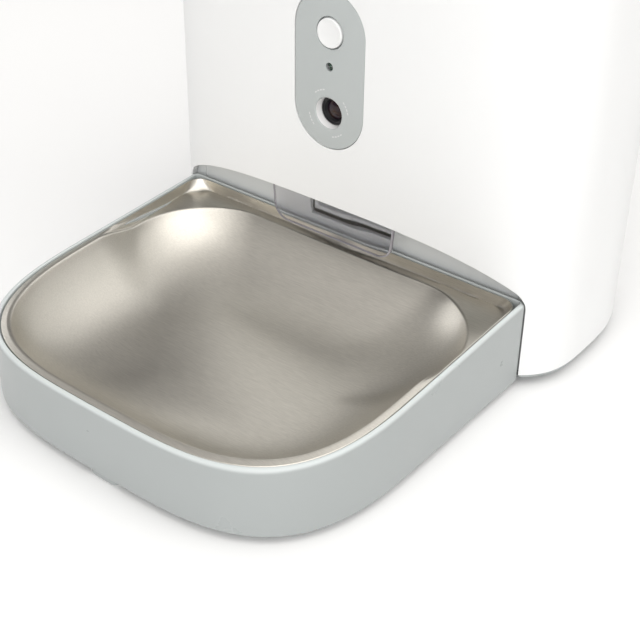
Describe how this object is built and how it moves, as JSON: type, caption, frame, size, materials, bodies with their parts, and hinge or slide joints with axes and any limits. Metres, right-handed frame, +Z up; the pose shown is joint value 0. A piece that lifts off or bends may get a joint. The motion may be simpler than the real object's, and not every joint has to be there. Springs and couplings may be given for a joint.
{
  "type": "automatic pet feeder",
  "caption": "Automatic pet feeder: white upright housing with camera panel, lift-off lid, motor-driven dispensing wheel, and a grey pull-out tray with a brushed steel bowl.",
  "frame": {"origin": "on the floor, under the middle of the overall box, at the undersides of the feet", "axes": "+X to the feeder's left as it faces you (right of the picture), +Y to the back, +Z up"},
  "size_m": [0.2204, 0.2702, 0.2284],
  "materials": {
    "white_shell": "satin moulded white ABS",
    "grey_shell": "satin moulded light grey ABS",
    "clear_guard": "clear polycarbonate",
    "dark_plastic": "fine matt black",
    "lens_glass": "coated optical glass",
    "bowl_steel": "brushed stainless steel",
    "hardware_steel": "plated steel",
    "rubber_grey": "matt rubber",
    "seal_rubber": "soft silicone",
    "board_green": "solder-masked circuit board",
    "cell_wrap": "printed sleeve, left plain",
    "gear_brass": "hobbed brass",
    "gear_white": "acetal",
    "dry_bag": "non-woven paper"
  },
  "bodies": {
    "housing": {"base_plate": "grey_shell", "base_screw_1": "hardware_steel", "base_screw_2": "hardware_steel", "base_screw_3": "hardware_steel", "base_screw_4": "hardware_steel", "battery_1": "cell_wrap", "battery_2": "cell_wrap", "battery_3": "cell_wrap", "battery_bay": "grey_shell", "battery_contact_negative": "hardware_steel", "battery_contact_positive": "hardware_steel", "body_foot_1": "rubber_grey", "body_foot_2": "rubber_grey", "body_foot_3": "rubber_grey", "body_foot_4": "rubber_grey", "button_board": "board_green", "camera_board": "board_green", "camera_panel": "grey_shell", "chute": "grey_shell", "chute_guard": "clear_guard", "dispenser_floor": "white_shell", "gear_motor": "dark_plastic", "hopper": "white_shell", "inlet_pin": "hardware_steel", "lens_barrel": "dark_plastic", "lens_glass": "lens_glass", "lens_surround": "white_shell", "main_board": "board_green", "outer_shell": "white_shell", "power_inlet": "dark_plastic", "recess_panel": "grey_shell", "speaker": "dark_plastic", "status_light": "clear_guard", "wifi_module": "hardware_steel"},
    "tray_unit": {"tray": "grey_shell", "tray_foot_1": "rubber_grey", "tray_foot_2": "rubber_grey", "tray_foot_3": "rubber_grey"},
    "bowl_unit": {"bowl": "bowl_steel"},
    "lid_unit": {"lid": "white_shell", "lid_seal": "seal_rubber", "desiccant_cup": "white_shell", "desiccant_bag": "dry_bag"},
    "latch_unit": {"lid_latch": "grey_shell"},
    "dry_cap_unit": {"desiccant_cap": "grey_shell"},
    "button_unit": {"feed_button": "grey_shell"},
    "wheel_unit": {"dispensing_wheel": "grey_shell", "wheel_shaft": "hardware_steel", "wheel_gear": "gear_white"},
    "pinion_unit": {"motor_pinion": "gear_brass", "motor_shaft": "hardware_steel"},
    "cover_unit": {"battery_cover": "grey_shell"}
  },
  "joints": [
    {"name": "tray_slide", "type": "slide", "parent": "housing", "child": "tray_unit", "axis": [0, -1, 0], "range_m": [0, 0.09]},
    {"name": "bowl_tip", "type": "hinge", "parent": "tray_unit", "child": "bowl_unit", "pos_m": [0, 0.0251, 0.0421], "axis": [-1, 0, 0], "range_deg": [0, 12]},
    {"name": "lid_lift", "type": "slide", "parent": "housing", "child": "lid_unit", "axis": [0, 0, 1], "range_m": [0, 0.09]},
    {"name": "latch_slide", "type": "slide", "parent": "lid_unit", "child": "latch_unit", "axis": [0, 1, 0], "range_m": [0, 0.0045], "stiffness_N_per_m": 200},
    {"name": "dry_cap_twist", "type": "hinge", "parent": "lid_unit", "child": "dry_cap_unit", "pos_m": [0, 0.0731, 0.2096], "axis": [0, 0, 1], "range_deg": [0, 45]},
    {"name": "feed_button_press", "type": "slide", "parent": "housing", "child": "button_unit", "axis": [0, 1, 0], "range_m": [0, 0.0015], "stiffness_N_per_m": 400},
    {"name": "wheel_spin", "type": "hinge", "parent": "housing", "child": "wheel_unit", "pos_m": [0, 0.078, 0.08], "axis": [0, 0, 1], "continuous": true},
    {"name": "pinion_spin", "type": "hinge", "parent": "housing", "child": "pinion_unit", "pos_m": [0.02334, 0.06442, 0.055], "axis": [0, 0, 1], "continuous": true},
    {"name": "battery_cover_drop", "type": "slide", "parent": "housing", "child": "cover_unit", "axis": [0, 0, -1], "range_m": [0, 0.03]}
  ],
  "couplings": [
    {"joint": "pinion_spin", "follows": "wheel_spin", "ratio": -2}
  ]
}
